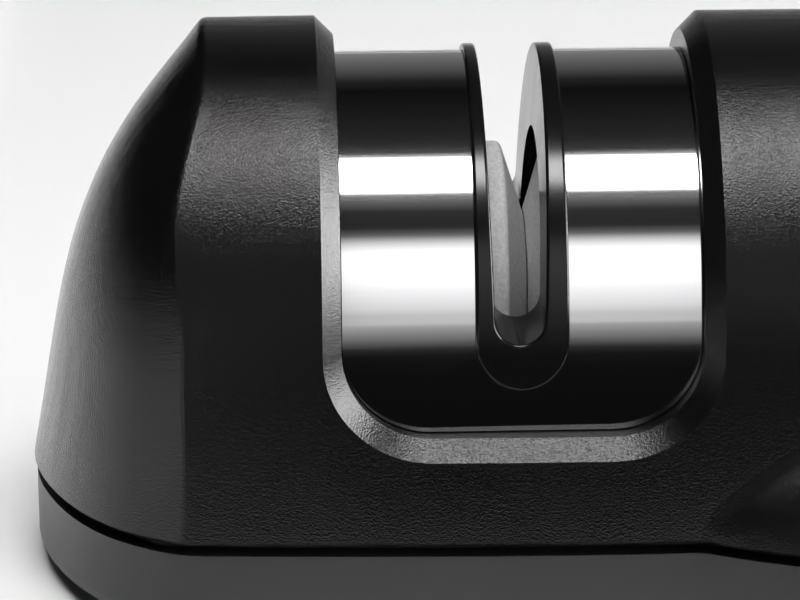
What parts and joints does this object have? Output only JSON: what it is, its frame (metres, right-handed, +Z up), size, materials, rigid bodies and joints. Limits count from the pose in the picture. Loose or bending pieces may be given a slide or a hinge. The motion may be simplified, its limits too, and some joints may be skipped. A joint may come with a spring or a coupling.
{
  "type": "pull through knife sharpener",
  "caption": "Pull through knife sharpener: textured black housing, polished steel arch plate, slot with abrasive wheels in a V, handle with a soft pad, grey base on rubber feet.",
  "frame": {"origin": "middle of the outer box in plan, on the plane that the rubber feet stand on", "axes": "+X runs from the rounded nose to the end of the handle, -Y is the front face seen in the picture, +Z is up"},
  "size_m": [0.1789, 0.062, 0.0481],
  "materials": {
    "housing_black": "fine spark texture",
    "cover_steel": "polished",
    "liner_black": "gloss",
    "wheel_abrasive": "fine grit",
    "base_grey": "smooth satin",
    "frame_plastic": "satin",
    "bush_plastic": "satin",
    "hidden_steel": "turned",
    "screw_steel": "zinc plated",
    "grip_rubber": "matt",
    "foot_rubber": "matt"
  },
  "bodies": {
    "housing": {"upper_housing": "housing_black", "cover_plate": "cover_steel", "slot_liner": "liner_black", "left_thrust_washer": "hidden_steel", "right_thrust_washer": "hidden_steel", "axle_pin": "hidden_steel", "left_axle_clip": "hidden_steel", "right_axle_clip": "hidden_steel", "left_cheek": "frame_plastic", "right_cheek": "frame_plastic", "frame_screws": "screw_steel", "housing_screws": "screw_steel", "base_shell": "base_grey", "grip_pad": "grip_rubber", "front_left_foot": "foot_rubber", "front_right_foot": "foot_rubber", "rear_left_foot": "foot_rubber", "rear_right_foot": "foot_rubber"},
    "left_roller": {"left_wheel": "wheel_abrasive", "left_hub_bush": "bush_plastic"},
    "right_roller": {"right_wheel": "wheel_abrasive", "right_hub_bush": "bush_plastic"}
  },
  "joints": [
    {"name": "left_wheel_spin", "type": "hinge", "parent": "housing", "child": "left_roller", "pos_m": [-0.04621, 0, 0.0239], "axis": [1, 0, 0], "continuous": true},
    {"name": "right_wheel_spin", "type": "hinge", "parent": "housing", "child": "right_roller", "pos_m": [-0.04621, 0, 0.0239], "axis": [1, 0, 0], "continuous": true}
  ]
}
